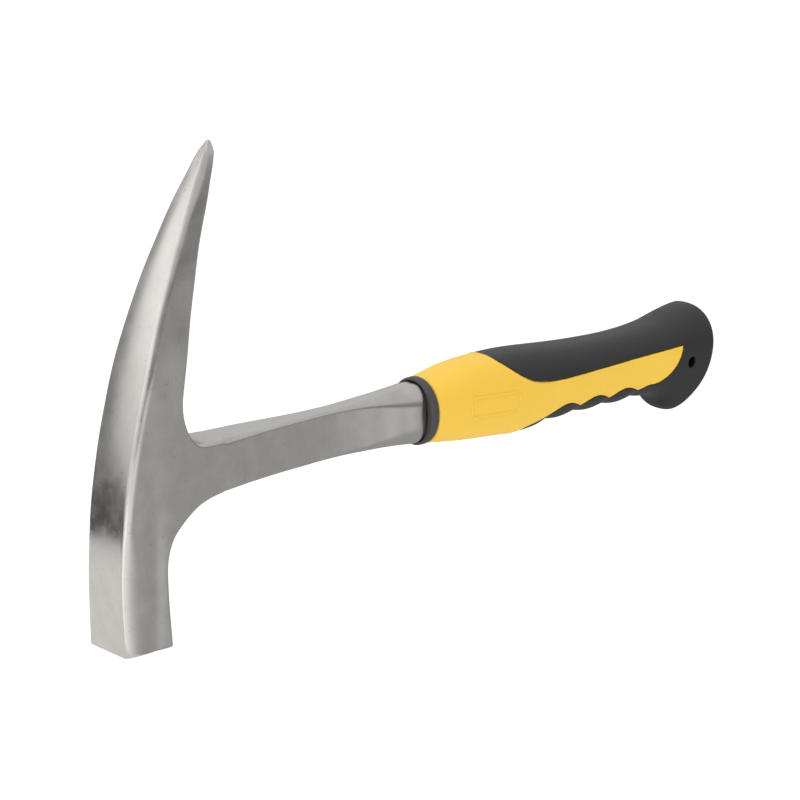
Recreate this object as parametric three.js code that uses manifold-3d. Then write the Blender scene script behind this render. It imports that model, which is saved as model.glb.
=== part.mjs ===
// Rock hammer: a one-piece forged geologist's pick with a two-shot moulded grip.
// Millimetres. +Z runs up from the striking face to the pick's tip, +X along the handle.
// The origin is the centre of the striking face.

import * as THREE from 'three';
import { mergeVertices } from 'three/addons/utils/BufferGeometryUtils.js';
import Module from 'manifold-3d';

// Head
const HEAD_HEIGHT = 180;        // striking face to pick tip
const FACE_CHAMFER = 0.6;       // broken edge round the striking face
const FRONT_EDGE_RADIUS = 2.2;  // long edges of the pick's front
const BACK_EDGE_RADIUS = 1.4;   // long edges on the handle side
const SHOULDER = 90;            // height where the cheeks begin to close in
const TIP_BREAK = 174;          // height where the ground facets of the tip begin

// Shank and tang
const SHANK_END = 140;          // end of the bare steel, inside the collar
const TANG_WIDTH = 7;           // across Y
const TANG_HEIGHT = 15;         // along Z
const TANG_SQUARENESS = 8;      // superellipse exponent of its section
const TANG_END = 262;
const LOCK_HOLE_RADIUS = 3;     // holes that key the plastic to the tang
const LOCK_HOLES = [165, 200, 235];

// Collar
const COLLAR_START = 136.8;
const COLLAR_END = 140.4;
const COLLAR_HALF_HEIGHT = 13.4;
const COLLAR_HALF_WIDTH = 12;
const COLLAR_CENTRE = 61.4;
const COLLAR_ROUND = 1;         // rounding of its front edge, twice that of its rear edge

// Grip
const GRIP_START = 140.8;
const BUTT_END = 298;           // furthest point of the handle
const BUTT_RADIUS = 32;         // arc of the butt in side view
const BUTT_CENTRE = 65;         // height of that arc's centre
const BUTT_REACH = 26.5;        // the arc ends this far above and below its centre
const BUTT_EDGE = 3.2;          // rounding between the grip's side and its end
const SWEEP_START = 255;        // where the sections begin to lean into the butt's arc
const GRIP_SQUARENESS = 2.5;    // superellipse exponent of the sections
const RUBBER_THICKNESS = 2.5;
const CORE_END = 288;           // end of the hard core inside the butt
const FINGER_PITCH = 17;        // distance between the underside's notches
const FIRST_NOTCH = 203;
const LAST_NOTCH = 254;
const NOTCH_DEPTH = 1.1;
const SCALLOP_HEIGHT = 2.6;     // waves of the rubber's lower border
const HANG_HOLE = { x: 283, z: 58, radius: 2.5 };
const BADGE = { x: 169.5, z: 61, length: 27, height: 9, slope: -0.06, frame: 1.2, relief: 0.35 };

const GAP = 0.3;                // clearance between neighbouring pieces
const BEYOND = 40;              // half depth of the cutters that pass right across the handle
const ABOVE_GRIP = 90;          // heights and place that lie outside the grip all round
const BELOW_GRIP = 30;
const AHEAD_OF_GRIP = 120;

// Sides of the faceted sections
const HOLE_SIDES = 16;
const TANG_SIDES = 12;
const SHANK_SIDES = 24;
const CORE_SIDES = 24;
const SKIN_SIDES = 32;
const COLLAR_SIDES = 40;

// Steel outline: [height, x] along the pick's front and along its handle side.
const headFront = smooth([
  [0, -10.8], [29, -11.8], [58, -9.8], [89, -3.9], [120, 5.1], [150, 17.8], [174, 30.5], [180, 34.4],
]);
const headBack = smooth([
  [0, 10.8], [20, 9.2], [31, 8.7], [60, 11.4], [86, 15.3], [103, 17.6], [123, 21.1], [143, 25.6],
  [164, 32.4], [176, 36.2], [180, 35.9],
]);
const headHalfWidth = smooth([
  [0, 11.3], [25, 11], [90, 10.9], [105, 10.5], [120, 9.3], [135, 8.2], [150, 6.65], [164, 5],
  [176, 2.7], [180, 0.9],
]);

// Shank stations from the head to the collar: lower point, upper point, half width, squareness.
// The first few fan out into the head's fillets; the shank is thinnest at its middle.
const SHANK_STATIONS = [
  { low: [3, 30], high: [8, 95], half: 9.6, square: 6 },
  { low: [9, 32], high: [15.3, 90], half: 10.8, square: 9 },
  { low: [10.2, 37.4], high: [16.5, 84.5], half: 10.6, square: 9 },
  { low: [12, 40.6], high: [18, 80.3], half: 10.2, square: 9 },
  { low: [14.9, 43.2], high: [19.9, 76.8], half: 9.6, square: 9 },
  { low: [19.2, 46.3], high: [22.4, 74], half: 9, square: 9 },
  { low: [25, 49], high: [26.4, 72.2], half: 8.5, square: 9 },
  { low: [33, 50.9], high: [33, 71.6], half: 8, square: 9 },
  { low: [42, 51.8], high: [42, 71.5], half: 7.6, square: 9 },
  { low: [54, 52.3], high: [54, 71.4], half: 6.6, square: 8 },
  { low: [66, 52.4], high: [66, 71.2], half: 5.5, square: 8 },
  { low: [78, 52.3], high: [78, 71], half: 4.6, square: 7 },
  { low: [90, 52.3], high: [90, 71], half: 4.1, square: 7 },
  { low: [99, 52.2], high: [99, 71.1], half: 4.3, square: 7 },
  { low: [108, 51.8], high: [108, 71.5], half: 5, square: 6 },
  { low: [117, 51.3], high: [117, 71.9], half: 6, square: 4.5 },
  { low: [126, 50.5], high: [126, 72.5], half: 7.2, square: 3.4 },
  { low: [133, 49.6], high: [133, 73.1], half: 8.1, square: 2.8 },
  { low: [140, 49], high: [140, 73.2], half: 8.3, square: 2.6 },
];

// Grip outline along X: crown, underside without its notches, and half width.
const gripTop = smooth([
  [140, 74], [148, 74.9], [157, 76.6], [172, 77.8], [188, 77.7], [215, 75.4], [230, 74.4], [250, 73.8],
  [270, 74.7], [284, 77.1], [292, 78.7], [298, 79.4],
]);
const gripBottom = smooth([
  [140, 48.8], [157, 46.5], [172, 45.1], [188, 43.9], [197, 44.3], [205, 45.2], [222, 45.5], [245, 45],
  [262, 44.4], [271, 43.3], [279, 41], [286, 38.4], [292, 36.2], [298, 35],
]);
const gripHalfWidth = smooth([
  [140, 11.4], [155, 13], [172, 13.8], [200, 13.6], [230, 13], [255, 13], [278, 14.2], [298, 14.6],
]);

// Side view of the border between hard plastic and rubber: above it, behind it and below it is rubber.
const UPPER_BORDER = [
  [170, ABOVE_GRIP], [174, 77.2], [184, 69.8], [191.5, 66], [205, 64.4], [232, 64.5], [276.5, 66],
];
const END_BORDER = [[277.6, 64.8], [277, 61], [275, 57.2], [270.8, 54], [265.5, 51.8], [259, 51.8]];
const LOWER_TAIL = [[197, 49], [190, 47.2], [184, 44.6], [181, BELOW_GRIP]];
const BORDER_BASE = 50.7;       // height of the notches of the lower border

// A smooth function through [position, value] points (cubic Hermite with averaged slopes).
function smooth(points) {
  const slopes = points.map((point, i) => {
    const before = points[Math.max(i - 1, 0)];
    const after = points[Math.min(i + 1, points.length - 1)];
    return (after[1] - before[1]) / (after[0] - before[0]);
  });
  return (position) => {
    const last = points.length - 2;
    const next = points.findIndex((point) => point[0] >= position);
    const i = next < 0 ? last : Math.min(Math.max(next - 1, 0), last);
    const span = points[i + 1][0] - points[i][0];
    const t = THREE.MathUtils.clamp((position - points[i][0]) / span, 0, 1);
    const rise = points[i + 1][1] - points[i][1];
    const bend = slopes[i] * span * t * (1 - t) ** 2 - slopes[i + 1] * span * t * t * (1 - t);
    return points[i][1] + rise * t * t * (3 - 2 * t) + bend;
  };
}

function steps(start, end, count) {
  return Array.from({ length: count + 1 }, (_, i) => start + ((end - start) * i) / count);
}

// A closed body through rings of equal length, each end closed by a fan.
function loft(rings) {
  const count = rings[0].length;
  const positions = rings.flat().flatMap((point) => point.toArray());
  const index = [];
  for (let ring = 0; ring < rings.length - 1; ring += 1) {
    for (let i = 0; i < count; i += 1) {
      const a = ring * count + i;
      const b = ring * count + ((i + 1) % count);
      index.push(a, b, b + count);
      index.push(a, b + count, a + count);
    }
  }
  const top = (rings.length - 1) * count;
  for (let i = 1; i < count - 1; i += 1) {
    index.push(0, i + 1, i);
    index.push(top, top + i, top + i + 1);
  }
  const geometry = new THREE.BufferGeometry();
  geometry.setAttribute('position', new THREE.Float32BufferAttribute(positions, 3));
  geometry.setIndex(index);
  return geometry;
}

// Superellipse points as [across, up] pairs, counted from +across towards +up.
function superellipse(halfWidth, halfHeight, squareness, count) {
  return steps(0, 2 * Math.PI, count).slice(0, count).map((angle) => {
    const c = Math.cos(angle);
    const s = Math.sin(angle);
    const radius = (Math.abs(c) ** squareness + Math.abs(s) ** squareness) ** (-1 / squareness);
    return [halfWidth * radius * c, halfHeight * radius * s];
  });
}

const wasm = await Module();
wasm.setup();

function solid(geometry) {
  const bare = geometry.clone();
  bare.deleteAttribute('normal');
  bare.deleteAttribute('uv');
  const merged = mergeVertices(bare, 1e-4);
  return new wasm.Manifold(new wasm.Mesh({
    numProp: 3,
    vertProperties: new Float32Array(merged.attributes.position.array),
    triVerts: new Uint32Array(merged.index.array),
  }));
}

function geometryOf(manifold) {
  const mesh = manifold.getMesh();
  const geometry = new THREE.BufferGeometry();
  geometry.setAttribute('position', new THREE.BufferAttribute(mesh.vertProperties, 3));
  geometry.setIndex(new THREE.BufferAttribute(mesh.triVerts, 1));
  return geometry;
}

// A cylinder across Y, through the handle.
function crossPin(x, z, radius) {
  const pin = new THREE.CylinderGeometry(radius, radius, 2 * BEYOND, HOLE_SIDES);
  pin.translate(x, 0, z);
  return solid(pin);
}

// A side outline of [x, z] points carried across Y.
function sidePlate(outline, halfDepth) {
  const shape = new THREE.Shape(outline.map(([x, z]) => new THREE.Vector2(x, z)));
  const plate = new THREE.ExtrudeGeometry(shape, { depth: 2 * halfDepth, bevelEnabled: false });
  plate.rotateX(Math.PI / 2);
  plate.translate(0, halfDepth, 0);
  return solid(plate);
}

// One level of the head: a rectangle with rounded corners, pulled in by an inset.
function headRing(height, inset) {
  const half = headHalfWidth(height) - inset;
  const front = headFront(height) + inset;
  const back = headBack(height) - inset;
  const frontRadius = Math.min(FRONT_EDGE_RADIUS, 0.45 * half);
  const backRadius = Math.min(BACK_EDGE_RADIUS, 0.3 * half);
  const corners = [
    { x: back - backRadius, y: half - backRadius, radius: backRadius, turn: 0 },
    { x: front + frontRadius, y: half - frontRadius, radius: frontRadius, turn: 1 },
    { x: front + frontRadius, y: frontRadius - half, radius: frontRadius, turn: 2 },
    { x: back - backRadius, y: backRadius - half, radius: backRadius, turn: 3 },
  ];
  return corners.flatMap(({ x, y, radius, turn }) => steps(0, Math.PI / 2, 2).map((angle) => {
    const direction = angle + (turn * Math.PI) / 2;
    return new THREE.Vector3(x + radius * Math.cos(direction), y + radius * Math.sin(direction), height);
  }));
}

function headSolid() {
  const poll = steps(FACE_CHAMFER, SHOULDER, 9);
  const pick = steps(SHOULDER, TIP_BREAK, 12).slice(1);
  const tip = steps(TIP_BREAK, HEAD_HEIGHT, 2).slice(1);
  const levels = [...poll, ...pick, ...tip];
  return solid(loft([headRing(0, FACE_CHAMFER), ...levels.map((height) => headRing(height, 0))]));
}

// The shank's sections lean with the line from their lower to their upper point.
function shankSolid() {
  const rings = SHANK_STATIONS.map(({ low, high, half, square }) => {
    const bottom = new THREE.Vector3(low[0], 0, low[1]);
    const top = new THREE.Vector3(high[0], 0, high[1]);
    const centre = bottom.clone().lerp(top, 0.5);
    const up = top.clone().sub(centre);
    return superellipse(half, 1, square, SHANK_SIDES).map(([across, rise]) => (
      centre.clone().addScaledVector(up, rise).add(new THREE.Vector3(0, across, 0))
    ));
  });
  return solid(loft(rings));
}

function tangRing(x, clearance) {
  const centre = (gripTop(x) + gripBottom(x)) / 2;
  return superellipse(TANG_WIDTH / 2 + clearance, TANG_HEIGHT / 2 + clearance, TANG_SQUARENESS, TANG_SIDES)
    .map(([across, rise]) => new THREE.Vector3(x, across, centre + rise));
}

// The tongue of the forging inside the grip, with its lock holes.
function tangSolid(start, clearance) {
  const stations = steps(start, TANG_END + clearance, 8);
  let tang = solid(loft(stations.map((x) => tangRing(x, clearance))));
  for (const x of LOCK_HOLES) {
    const centre = (gripTop(x) + gripBottom(x)) / 2;
    tang = tang.subtract(crossPin(x, centre, LOCK_HOLE_RADIUS - clearance));
  }
  return tang;
}

function collarGeometry() {
  const profile = [
    [COLLAR_START, -COLLAR_ROUND],
    [COLLAR_START + 0.3 * COLLAR_ROUND, -0.3 * COLLAR_ROUND],
    [COLLAR_START + COLLAR_ROUND, 0],
    [COLLAR_END - COLLAR_ROUND / 2, 0],
    [COLLAR_END, -COLLAR_ROUND / 2],
  ];
  const body = solid(loft(profile.map(([x, inset]) => (
    superellipse(COLLAR_HALF_WIDTH + inset, COLLAR_HALF_HEIGHT + inset, 2, COLLAR_SIDES)
      .map(([across, rise]) => new THREE.Vector3(x, across, COLLAR_CENTRE + rise))
  ))));
  const { low, high, half, square } = SHANK_STATIONS[SHANK_STATIONS.length - 1];
  const centre = (low[1] + high[1]) / 2;
  const bore = solid(loft([COLLAR_START - 2, COLLAR_END + 2].map((x) => (
    superellipse(half + GAP, (high[1] - low[1]) / 2 + GAP, square, COLLAR_SIDES)
      .map(([across, rise]) => new THREE.Vector3(x, across, centre + rise))
  ))));
  return geometryOf(body.subtract(bore));
}

// Depth of the finger notches at a place along the underside: rounded pads with sharp valleys.
function notch(x) {
  if (x < FIRST_NOTCH - FINGER_PITCH || x > LAST_NOTCH + FINGER_PITCH) return 0;
  const wave = Math.abs(Math.sin((Math.PI * (x - FIRST_NOTCH)) / FINGER_PITCH));
  const outside = Math.max(FIRST_NOTCH - x, x - LAST_NOTCH, 0) / FINGER_PITCH;
  return NOTCH_DEPTH * (1 - wave) * (1 - outside);
}

// One section of the grip's skin, pulled in by an inset; sections near the butt lean into its arc.
function gripRing(x, inset, count) {
  const top = gripTop(x) - inset;
  const bottom = gripBottom(x) + inset;
  const centre = (top + bottom) / 2;
  const lean = THREE.MathUtils.smoothstep(x, SWEEP_START, BUTT_END);
  const section = superellipse(gripHalfWidth(x) - inset, (top - bottom) / 2, GRIP_SQUARENESS, count);
  return section.map(([across, rise]) => {
    const under = Math.max(-rise / ((top - bottom) / 2), 0) ** 2;
    const height = centre + rise + notch(x) * under;
    const sag = Math.sqrt(BUTT_RADIUS ** 2 - Math.min(Math.abs(height - BUTT_CENTRE), BUTT_REACH) ** 2);
    return new THREE.Vector3(x + lean * (sag - BUTT_RADIUS), across, height);
  });
}

// The whole grip as one body: its outer skin, or a smaller copy for the parts beneath.
function gripSolid(inset, end, count) {
  const front = steps(GRIP_START, FIRST_NOTCH, 8);
  const fingers = steps(FIRST_NOTCH, LAST_NOTCH, 18).slice(1);
  const rear = steps(LAST_NOTCH, end - BUTT_EDGE, 6).slice(1);
  const edge = steps(0, Math.PI / 2, 3).slice(1);
  const rings = [...front, ...fingers, ...rear].map((x) => gripRing(x, inset, count));
  const round = edge.map((angle) => (
    gripRing(end - BUTT_EDGE * (1 - Math.sin(angle)), inset + BUTT_EDGE * (1 - Math.cos(angle)), count)
  ));
  return solid(loft([...rings, ...round]));
}

// Side outline of the hard plastic that shows: the front of the grip and the window behind it.
function windowOutline(grow) {
  const waves = steps(LAST_NOTCH, FIRST_NOTCH, 18).map((x) => {
    const wave = Math.abs(Math.sin((Math.PI * (x - FIRST_NOTCH)) / FINGER_PITCH));
    return [x, BORDER_BASE + SCALLOP_HEIGHT * wave - grow];
  });
  const upper = UPPER_BORDER.map(([x, z]) => [x + 0.5 * grow, z + grow]);
  const end = END_BORDER.map(([x, z]) => [x + grow, z - 0.3 * grow]);
  const tail = LOWER_TAIL.map(([x, z]) => [x + 0.5 * grow, z - grow]);
  const front = [[AHEAD_OF_GRIP, BELOW_GRIP], [AHEAD_OF_GRIP, ABOVE_GRIP]];
  return [...front, ...upper, ...end, ...waves, ...tail];
}

// A raised rectangular frame on both sides of the grip's front, left blank.
function badgeFrame() {
  const rectangle = (length, height) => [[-1, -1], [1, -1], [1, 1], [-1, 1]].map(([u, v]) => {
    const along = (u * length) / 2;
    return [BADGE.x + along, BADGE.z + (v * height) / 2 + BADGE.slope * along];
  });
  const outer = sidePlate(rectangle(BADGE.length, BADGE.height), BEYOND);
  const opening = rectangle(BADGE.length - 2 * BADGE.frame, BADGE.height - 2 * BADGE.frame);
  const inner = sidePlate(opening, BEYOND + 1);
  return outer.subtract(inner).intersect(gripSolid(-BADGE.relief, BUTT_END, SKIN_SIDES));
}

function mesh(name, geometry, colour, roughness, metalness) {
  const material = new THREE.MeshStandardMaterial({ color: colour, roughness, metalness });
  const piece = new THREE.Mesh(geometry, material);
  piece.name = name;
  return piece;
}

const skin = gripSolid(0, BUTT_END, SKIN_SIDES);
const hangHole = crossPin(HANG_HOLE.x, HANG_HOLE.z, HANG_HOLE.radius);
const yellowZone = sidePlate(windowOutline(0), BEYOND);
const clearedZone = sidePlate(windowOutline(GAP), BEYOND);
const inner = gripSolid(RUBBER_THICKNESS + GAP, CORE_END, CORE_SIDES);
const cavity = gripSolid(RUBBER_THICKNESS, CORE_END + GAP, CORE_SIDES);

const forging = headSolid().add(shankSolid()).add(tangSolid(SHANK_END - 1, 0));
const core = skin.intersect(yellowZone).add(inner).add(badgeFrame())
  .subtract(tangSolid(SHANK_END - 2, GAP)).subtract(hangHole);
const rubber = skin.subtract(clearedZone).subtract(cavity).subtract(hangHole);

const hammer = new THREE.Group();
hammer.name = 'rock_hammer';
hammer.add(mesh('forged_steel_body', geometryOf(forging), '#9b9894', 0.35, 1));
hammer.add(mesh('front_collar', collarGeometry(), '#33323a', 0.7, 0));
hammer.add(mesh('grip_core', geometryOf(core), '#f5c53c', 0.45, 0));
hammer.add(mesh('rubber_overmould', geometryOf(rubber), '#323232', 0.75, 0));

export default hammer;
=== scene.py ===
import math

import bmesh
import bpy
import numpy as np
from bpy.props import FloatProperty, FloatVectorProperty, PointerProperty
from mathutils import Matrix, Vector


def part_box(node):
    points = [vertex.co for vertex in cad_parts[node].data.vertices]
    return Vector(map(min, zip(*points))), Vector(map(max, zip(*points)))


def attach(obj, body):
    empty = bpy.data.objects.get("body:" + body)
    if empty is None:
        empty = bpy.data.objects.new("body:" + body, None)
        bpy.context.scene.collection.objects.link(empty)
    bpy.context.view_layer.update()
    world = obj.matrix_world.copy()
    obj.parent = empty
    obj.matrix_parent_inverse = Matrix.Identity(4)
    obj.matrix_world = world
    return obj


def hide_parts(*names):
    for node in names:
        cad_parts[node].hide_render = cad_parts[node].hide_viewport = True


# A one-piece forged rock hammer standing on its striking face.
# Shapes are worked out in millimetres in the frame's axes and written to the meshes in metres:
# +Z runs up from the striking face to the pick's tip, +X along the handle, Y across the cheeks.

bl_info = {
    "name": "Rock Hammer",
    "version": (1, 0, 0),
    "blender": (4, 5, 0),
    "location": "View3D > Sidebar > Hammer",
    "description": "Builds a forged rock hammer with a two-shot moulded grip",
    "category": "Add Mesh",
}

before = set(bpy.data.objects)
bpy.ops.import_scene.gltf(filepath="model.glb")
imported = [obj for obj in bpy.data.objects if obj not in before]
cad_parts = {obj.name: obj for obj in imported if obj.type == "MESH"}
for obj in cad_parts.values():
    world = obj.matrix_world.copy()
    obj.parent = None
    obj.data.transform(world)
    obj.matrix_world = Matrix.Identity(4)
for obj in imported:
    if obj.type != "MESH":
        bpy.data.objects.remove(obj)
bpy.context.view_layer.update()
MM = 0.001


def node_box(name):
    """Lowest and highest corners of a frame node, in millimetres."""
    low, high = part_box(name)
    return np.array(low) / MM, np.array(high) / MM


STEEL_LOW, STEEL_HIGH = node_box("forged_steel_body")
COLLAR_LOW, COLLAR_HIGH = node_box("front_collar")
CORE_LOW, CORE_HIGH = node_box("grip_core")
RUBBER_LOW, RUBBER_HIGH = node_box("rubber_overmould")

HEAD_HEIGHT = STEEL_HIGH[2]
TANG_END = STEEL_HIGH[0]
GRIP_START = CORE_LOW[0]
CORE_END = CORE_HIGH[0]
BUTT_END = RUBBER_HIGH[0]

# Head: outlines as (height, x) in side view, and half width by height
HEAD_FRONT = [
    (0, -10.8), (29, -11.74), (58, -9.8), (89, -3.9), (120, 5.1), (150, 17.8), (174, 30.5),
    (HEAD_HEIGHT, 34.4),
]
HEAD_HALF_WIDTH = [
    (0, 11.3), (25, 11), (90, 10.9), (105, 10.5), (120, 9.3), (135, 8.2), (150, 6.65), (164, 5),
    (176, 2.5), (HEAD_HEIGHT, 0.5),
]
# Handle side of the head and the shank as (x, z): below, from the poll's foot to the collar,
# and above, from the pick's tip to the collar. Each turns into the shank in one long fillet.
LOWER_OUTLINE = [
    (10.8, 0), (9.9, 10), (9.2, 20), (8.8, 29), (9.2, 33.5), (10.3, 37.4), (12, 40.6), (15.0, 43.6),
    (19.5, 46.8), (25.2, 49.3), (33, 51.1), (42, 51.8), (54, 52.3), (66, 52.4), (78, 52.3), (90, 52.3),
    (99, 52.2), (108, 51.8), (117, 51.3), (126, 50.5), (133, 49.6), (140, 49),
]
UPPER_OUTLINE = [
    (35.9, HEAD_HEIGHT), (36.2, 176), (32.4, 164), (25.6, 143), (21.1, 123), (17.6, 103), (16.3, 95),
    (15.9, 89.5), (16.6, 84.5), (18, 80.3), (19.9, 76.8), (22.4, 74), (26.4, 72.2), (33, 71.6),
    (42, 71.5), (54, 71.4), (66, 71.2), (78, 71), (90, 71), (99, 71.1), (108, 71.5), (117, 71.9),
    (126, 72.5), (133, 73.1), (140, 73.2),
]
BROKEN_EDGE = 0.6               # round the striking face
POLL_EASE_END = (30, 62)        # heights where the poll's eased edges and hollow fade out
POLL_HOLLOW = (2.4, 3.4, 0.3)    # centre and half width across the cheek, and depth
WAVE_HEIGHT = 0.05
EDGE_STRETCH = 1.6              # the front edges run further along the cheek than across it
LOWER_SPLIT = (12, 40.6)        # where the shank's sections begin, in the middle of each fillet
UPPER_SPLIT = (18, 80.3)
SHANK_HALF_WIDTH = [
    (6, 10.95), (10, 10.88), (14, 10.6), (18, 10.1), (22, 9.4), (26, 8.7), (33, 8), (42, 7.6),
    (54, 6.6), (66, 5.5), (78, 4.6), (90, 4.1), (99, 4.3), (108, 5), (117, 6), (126, 7.2), (133, 8.1),
    (140, 8.3),
]
# Rounding of the shank's long edges by x: across Y, and into the depth of the section
SHANK_ROUND_ACROSS = [(0, 2.2), (40, 2.0), (60, 1.4), (95, 1.4), (108, 2.4), (117, 3.6), (126, 5.2), (133, 6.6), (140, 7.5)]
SHANK_ROUND_DEEP = [(0, 2.2), (40, 2.0), (60, 1.4), (95, 1.4), (108, 2.6), (117, 4.2), (126, 6.4), (133, 8), (140, 9)]

# Tang, hidden in the grip
TANG_HALF_WIDTH = 3.5
TANG_HALF_HEIGHT = 7.5
TANG_SQUARENESS = 8
LOCK_HOLES = [165, 200, 235]
LOCK_HOLE_RADIUS = 3

# Grip: crown, underside and half width by x, as in the frame
GRIP_TOP = [
    (140, 74), (148, 75.3), (157, 76.9), (172, 77.8), (188, 77.7), (215, 75.4), (230, 74.4),
    (250, 73.8), (270, 74.9), (284, 77.8), (292, 79.1), (298, 79.4),
]
GRIP_BOTTOM = [
    (140, 48.8), (157, 46.5), (172, 45.1), (188, 43.9), (197, 44.3), (205, 45.2), (222, 45.5),
    (245, 45.2), (256, 45.3), (266, 44.9), (273, 43.6), (280, 41), (286, 38.4), (292, 36.2), (298, 35),
]
GRIP_HALF_WIDTH = [
    (140, 11.4), (155, 13), (172, 13.8), (200, 13.6), (230, 13), (255, 13), (278, 14.2), (298, 14.6),
]
GRIP_SQUARENESS = 2.5
BUTT_RADIUS = 32
BUTT_CENTRE = 67
BUTT_REACH = 28.5
BUTT_EASE = 8                   # power of the soft limit at the reach
BUTT_EDGE = 3.2
SWEEP_START = 255
FINGER_PITCH = 17
FIRST_NOTCH = 203
LAST_NOTCH = 254
NOTCH_DEPTH = 1.6
NOTCH_REACH = 1.5                # power by which the notches fade out up the side
SCALLOP_HEIGHT = 2.8
BORDER_BASE = 50.5
HANG_HOLE = (283, 58)
HANG_HOLE_RADIUS = 2.5
CORE_HOLE_RELIEF = 1.9          # the core's hole is wider than the rubber's

# Border between the hard plastic and the rubber, as (x, z) in side view
CROWN_START = 173.8
CROWN_BORDER = [
    (CROWN_START, 77.8), (175.6, 75.9), (184, 69.8), (191.5, 66), (205, 64.4), (232, 64.5),
    (262, 65.3), (277.6, 66),
]
TAIL_START = 183.2
TAIL_BORDER = [(TAIL_START, 44.1), (185, 45.1), (190, 47.2), (197, 49), (FIRST_NOTCH, BORDER_BASE)]
END_BORDER = [
    (LAST_NOTCH, BORDER_BASE), (259, 51.9), (264.5, 52.1), (269.4, 54), (273.6, 57.4), (276.2, 61.4),
    (277.6, 66),
]
WINDOW_END = 277.6

BADGE_CENTRE = (169.5, 61)
BADGE_SIZE = (25.8, 7.8)        # centre line of the raised frame
BADGE_CORNER = 2.2
BADGE_SLOPE = -0.06
BADGE_RIDGE = (0.6, 0.4)        # half width and height of the ridge
GAP = 0.3


# ---------------------------------------------------------------- curves

def smooth(points):
    """A function through (position, value) points: cubic Hermite pieces with averaged slopes."""
    at, value = np.array(points, float).T
    index = np.arange(len(at))
    after = np.minimum(index + 1, len(at) - 1)
    before = np.maximum(index - 1, 0)
    slope = (value[after] - value[before]) / (at[after] - at[before])

    def curve(position):
        place = np.clip(position, at[0], at[-1])
        i = np.clip(np.searchsorted(at, place) - 1, 0, len(at) - 2)
        span = at[i + 1] - at[i]
        t = (place - at[i]) / span
        rise = (value[i + 1] - value[i]) * t * t * (3 - 2 * t)
        return value[i] + rise + span * t * (1 - t) * (slope[i] * (1 - t) - slope[i + 1] * t)

    return curve


def smooth_path(points):
    """A plane path through points by distance run: each coordinate is a smooth function of it."""
    place = np.array(points, float)
    run = np.concatenate([[0], np.cumsum(np.hypot(*np.diff(place, axis=0).T))])
    across = smooth(np.column_stack([run, place[:, 0]]))
    up = smooth(np.column_stack([run, place[:, 1]]))

    def path(distance):
        return np.stack([across(distance), up(distance)], axis=-1)

    return path, run


def smoothstep(low, high, value):
    """0 below low, 1 above high, and 3t^2 - 2t^3 between them."""
    t = np.clip((value - low) / (high - low), 0, 1)
    return t * t * (3 - 2 * t)


def inward(path, distance, side):
    """Unit normals of a path, turned a quarter from its direction towards the given side."""
    step = 0.05
    along = path(distance + step) - path(distance - step)
    along /= np.linalg.norm(along, axis=-1, keepdims=True)
    return side * np.stack([along[..., 1], -along[..., 0]], axis=-1)


def blend(start, end, t):
    """Points on the straight lines from start to end, one row for each line."""
    share = np.asarray(t)[None, :, None]
    return start[:, None, :] * (1 - share) + end[:, None, :] * share


# ---------------------------------------------------------------- meshes

def finish_mesh(name, grids, mirror=True):
    """A closed smooth mesh from grids of points in millimetres, joined where their edges meet."""
    vertices, faces, start = [], [], 0
    sides = (1, -1) if mirror else (1,)
    for side in sides:
        for grid in grids:
            rows, columns = grid.shape[:2]
            grid = np.minimum(grid, (BUTT_END, np.inf, HEAD_HEIGHT))
            vertices.append(grid.reshape(-1, 3) * MM * (1, side, 1))
            corner = np.arange(rows * columns).reshape(rows, columns) + start
            quads = [corner[:-1, :-1], corner[1:, :-1], corner[1:, 1:], corner[:-1, 1:]]
            faces.append(np.stack(quads, axis=-1).reshape(-1, 4))
            start += rows * columns
    mesh = bpy.data.meshes.new(name)
    mesh.from_pydata(np.concatenate(vertices).tolist(), [], np.concatenate(faces).tolist())
    shape = bmesh.new()
    shape.from_mesh(mesh)
    bmesh.ops.remove_doubles(shape, verts=shape.verts, dist=3e-7)
    bmesh.ops.dissolve_degenerate(shape, edges=shape.edges, dist=3e-7)
    bmesh.ops.holes_fill(shape, edges=shape.edges, sides=0)
    bmesh.ops.recalc_face_normals(shape, faces=shape.faces)
    shape.to_mesh(mesh)
    shape.free()
    mesh.shade_smooth()
    piece = bpy.data.objects.new(name, mesh)
    bpy.context.scene.collection.objects.link(piece)
    return piece


def cross_pin(x, z, radius):
    """A closed round bar across Y: circles of one radius at both ends."""
    angle = np.linspace(0, 2 * math.pi, 65)
    circle = np.stack([x + radius * np.cos(angle), 0 * angle, z + radius * np.sin(angle)], axis=-1)
    return finish_mesh("cutter", [np.stack([circle + (0, y, 0) for y in (-30, 30)])], mirror=False)


def cut(piece, cutters):
    """Cuts closed cutters out of a closed piece and removes them."""
    for cutter in cutters:
        modifier = piece.modifiers.new("cut", "BOOLEAN")
        modifier.operation = "DIFFERENCE"
        modifier.solver = "EXACT"
        modifier.object = cutter
        graph = bpy.context.evaluated_depsgraph_get()
        result = bpy.data.meshes.new_from_object(piece.evaluated_get(graph))
        piece.modifiers.remove(modifier)
        piece.data = result
        bpy.data.objects.remove(cutter)


# ---------------------------------------------------------------- forging

head_front = smooth(HEAD_FRONT)
head_half = smooth(HEAD_HALF_WIDTH)
shank_half = smooth(SHANK_HALF_WIDTH)
shank_round_across = smooth(SHANK_ROUND_ACROSS)
shank_round_deep = smooth(SHANK_ROUND_DEEP)
lower_path, lower_run = smooth_path(LOWER_OUTLINE)
upper_path, upper_run = smooth_path(UPPER_OUTLINE)
front_path, front_run = smooth_path([(x, z) for z, x in HEAD_FRONT])


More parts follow.
